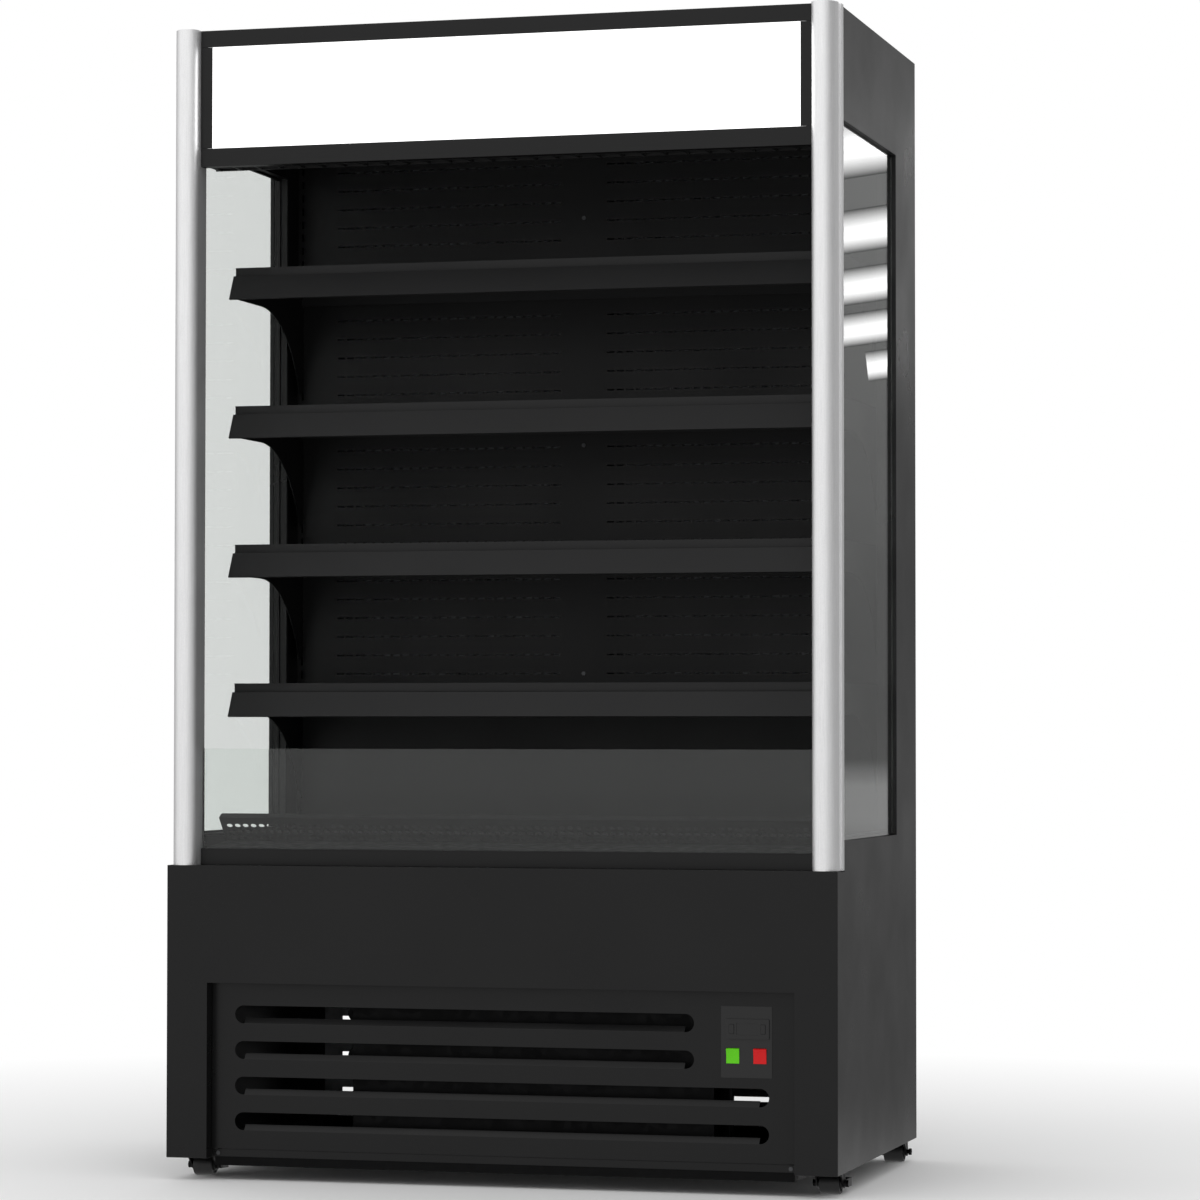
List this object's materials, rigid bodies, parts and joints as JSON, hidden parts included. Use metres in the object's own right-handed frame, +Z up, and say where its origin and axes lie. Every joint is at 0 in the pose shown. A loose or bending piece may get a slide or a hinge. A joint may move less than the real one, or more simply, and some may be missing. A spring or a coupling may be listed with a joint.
{
  "type": "open multideck refrigerated display cabinet",
  "caption": "Open-fronted refrigerated display cabinet with tiered shelves, side windows, a lit header, a louvred machine base and castors.",
  "frame": {"origin": "on the floor, midway across the width and the depth", "axes": "+X to the right seen from the front, +Y to the back, +Z up"},
  "size_m": [1.2, 0.695, 2.023],
  "materials": {
    "dark_paint": "satin",
    "side_paint": "satin",
    "anodised": "satin",
    "glass": "clear",
    "galvanised": "matt",
    "wheel_plastic": "matt",
    "brake_steel": "satin",
    "black_plastic": "matt",
    "rocker_green": "gloss",
    "rocker_red": "gloss",
    "inner_paint": "satin",
    "opal": "matt",
    "compressor_paint": "satin",
    "screw_steel": "satin"
  },
  "bodies": {
    "cabinet": {"front_panel": "dark_paint", "louvre_panel": "dark_paint", "window_frames": "dark_paint", "glass_rail": "dark_paint", "header_frame": "dark_paint", "canopy": "dark_paint", "side_panel_left": "side_paint", "side_panel_right": "side_paint", "post_left": "anodised", "post_right": "anodised", "side_glass_left": "glass", "side_glass_right": "glass", "front_glass": "glass", "chassis": "galvanised", "castor_mounts": "galvanised", "rear_vent_panel": "galvanised", "insulated_body": "galvanised", "evaporator": "galvanised", "fan_shroud": "galvanised", "condenser": "galvanised", "control_housing": "black_plastic", "controller": "black_plastic", "honeycomb": "black_plastic", "back_panel": "inner_paint", "uprights": "inner_paint", "header_diffuser": "opal", "header_lamp": "opal", "compressor": "compressor_paint", "screws": "screw_steel"},
    "swivel_front_left": {"castor_fork_front_left": "galvanised"},
    "wheel_front_left": {"castor_wheel_front_left": "wheel_plastic"},
    "brake_front_left": {"castor_brake_front_left": "brake_steel"},
    "swivel_front_right": {"castor_fork_front_right": "galvanised"},
    "wheel_front_right": {"castor_wheel_front_right": "wheel_plastic"},
    "brake_front_right": {"castor_brake_front_right": "brake_steel"},
    "swivel_rear_left": {"castor_fork_rear_left": "galvanised"},
    "wheel_rear_left": {"castor_wheel_rear_left": "wheel_plastic"},
    "swivel_rear_right": {"castor_fork_rear_right": "galvanised"},
    "wheel_rear_right": {"castor_wheel_rear_right": "wheel_plastic"},
    "shelf_set_1": {"shelf_1": "inner_paint", "shelf_brackets_1": "inner_paint", "ticket_rail_1": "inner_paint"},
    "shelf_set_2": {"shelf_2": "inner_paint", "shelf_brackets_2": "inner_paint", "ticket_rail_2": "inner_paint"},
    "shelf_set_3": {"shelf_3": "inner_paint", "shelf_brackets_3": "inner_paint", "ticket_rail_3": "inner_paint"},
    "shelf_set_4": {"shelf_4": "inner_paint", "shelf_brackets_4": "inner_paint", "ticket_rail_4": "inner_paint"},
    "deck": {"base_deck": "inner_paint", "return_grille": "inner_paint"},
    "key_left": {"controller_key_left": "black_plastic"},
    "key_right": {"controller_key_right": "black_plastic"},
    "rocker_green": {"switch_green": "rocker_green"},
    "rocker_red": {"switch_red": "rocker_red"},
    "big_fan": {"condenser_fan": "black_plastic"},
    "duct_fan_left": {"evaporator_fan_left": "black_plastic"},
    "duct_fan_right": {"evaporator_fan_right": "black_plastic"}
  },
  "joints": [
    {"name": "castor_swivel_front_left", "type": "hinge", "parent": "cabinet", "child": "swivel_front_left", "pos_m": [-0.566, -0.2625, 0.05], "axis": [0, 0, 1], "continuous": true},
    {"name": "castor_roll_front_left", "type": "hinge", "parent": "swivel_front_left", "child": "wheel_front_left", "pos_m": [-0.566, -0.2425, 0.018], "axis": [1, 0, 0], "continuous": true},
    {"name": "castor_brake_front_left", "type": "hinge", "parent": "swivel_front_left", "child": "brake_front_left", "pos_m": [-0.566, -0.2425, 0.018], "axis": [1, 0, 0], "range_deg": [-6, 0]},
    {"name": "castor_swivel_front_right", "type": "hinge", "parent": "cabinet", "child": "swivel_front_right", "pos_m": [0.566, -0.2625, 0.05], "axis": [0, 0, 1], "continuous": true},
    {"name": "castor_roll_front_right", "type": "hinge", "parent": "swivel_front_right", "child": "wheel_front_right", "pos_m": [0.566, -0.2425, 0.018], "axis": [1, 0, 0], "continuous": true},
    {"name": "castor_brake_front_right", "type": "hinge", "parent": "swivel_front_right", "child": "brake_front_right", "pos_m": [0.566, -0.2425, 0.018], "axis": [1, 0, 0], "range_deg": [-6, 0]},
    {"name": "castor_swivel_rear_left", "type": "hinge", "parent": "cabinet", "child": "swivel_rear_left", "pos_m": [-0.566, 0.2925, 0.05], "axis": [0, 0, 1], "continuous": true},
    {"name": "castor_roll_rear_left", "type": "hinge", "parent": "swivel_rear_left", "child": "wheel_rear_left", "pos_m": [-0.566, 0.3125, 0.018], "axis": [1, 0, 0], "continuous": true},
    {"name": "castor_swivel_rear_right", "type": "hinge", "parent": "cabinet", "child": "swivel_rear_right", "pos_m": [0.566, 0.2925, 0.05], "axis": [0, 0, 1], "continuous": true},
    {"name": "castor_roll_rear_right", "type": "hinge", "parent": "swivel_rear_right", "child": "wheel_rear_right", "pos_m": [0.566, 0.3125, 0.018], "axis": [1, 0, 0], "continuous": true},
    {"name": "shelf_lift_1", "type": "slide", "parent": "cabinet", "child": "shelf_set_1", "axis": [0, 0, 1], "range_m": [0, 0.008]},
    {"name": "shelf_lift_2", "type": "slide", "parent": "cabinet", "child": "shelf_set_2", "axis": [0, 0, 1], "range_m": [0, 0.008]},
    {"name": "shelf_lift_3", "type": "slide", "parent": "cabinet", "child": "shelf_set_3", "axis": [0, 0, 1], "range_m": [0, 0.008]},
    {"name": "shelf_lift_4", "type": "slide", "parent": "cabinet", "child": "shelf_set_4", "axis": [0, 0, 1], "range_m": [0, 0.008]},
    {"name": "deck_lift", "type": "slide", "parent": "cabinet", "child": "deck", "axis": [0, 0, 1], "range_m": [0, 0.06]},
    {"name": "controller_key_left", "type": "slide", "parent": "cabinet", "child": "key_left", "axis": [0, 1, 0], "range_m": [0, 0.0006], "stiffness_N_per_m": 200},
    {"name": "controller_key_right", "type": "slide", "parent": "cabinet", "child": "key_right", "axis": [0, 1, 0], "range_m": [0, 0.0006], "stiffness_N_per_m": 200},
    {"name": "switch_green", "type": "hinge", "parent": "cabinet", "child": "rocker_green", "pos_m": [0.4133, -0.3173, 0.2367], "axis": [1, 0, 0], "range_deg": [-12, 0]},
    {"name": "switch_red", "type": "hinge", "parent": "cabinet", "child": "rocker_red", "pos_m": [0.4605, -0.3173, 0.2367], "axis": [1, 0, 0], "range_deg": [-12, 0]},
    {"name": "condenser_fan_spin", "type": "hinge", "parent": "cabinet", "child": "big_fan", "pos_m": [0.048, -0.1905, 0.182], "axis": [0, 1, 0], "continuous": true},
    {"name": "evaporator_fan_spin_left", "type": "hinge", "parent": "cabinet", "child": "duct_fan_left", "pos_m": [-0.23, -0.0495, 0.534], "axis": [0, 1, 0], "continuous": true},
    {"name": "evaporator_fan_spin_right", "type": "hinge", "parent": "cabinet", "child": "duct_fan_right", "pos_m": [0.23, -0.0495, 0.534], "axis": [0, 1, 0], "continuous": true}
  ]
}
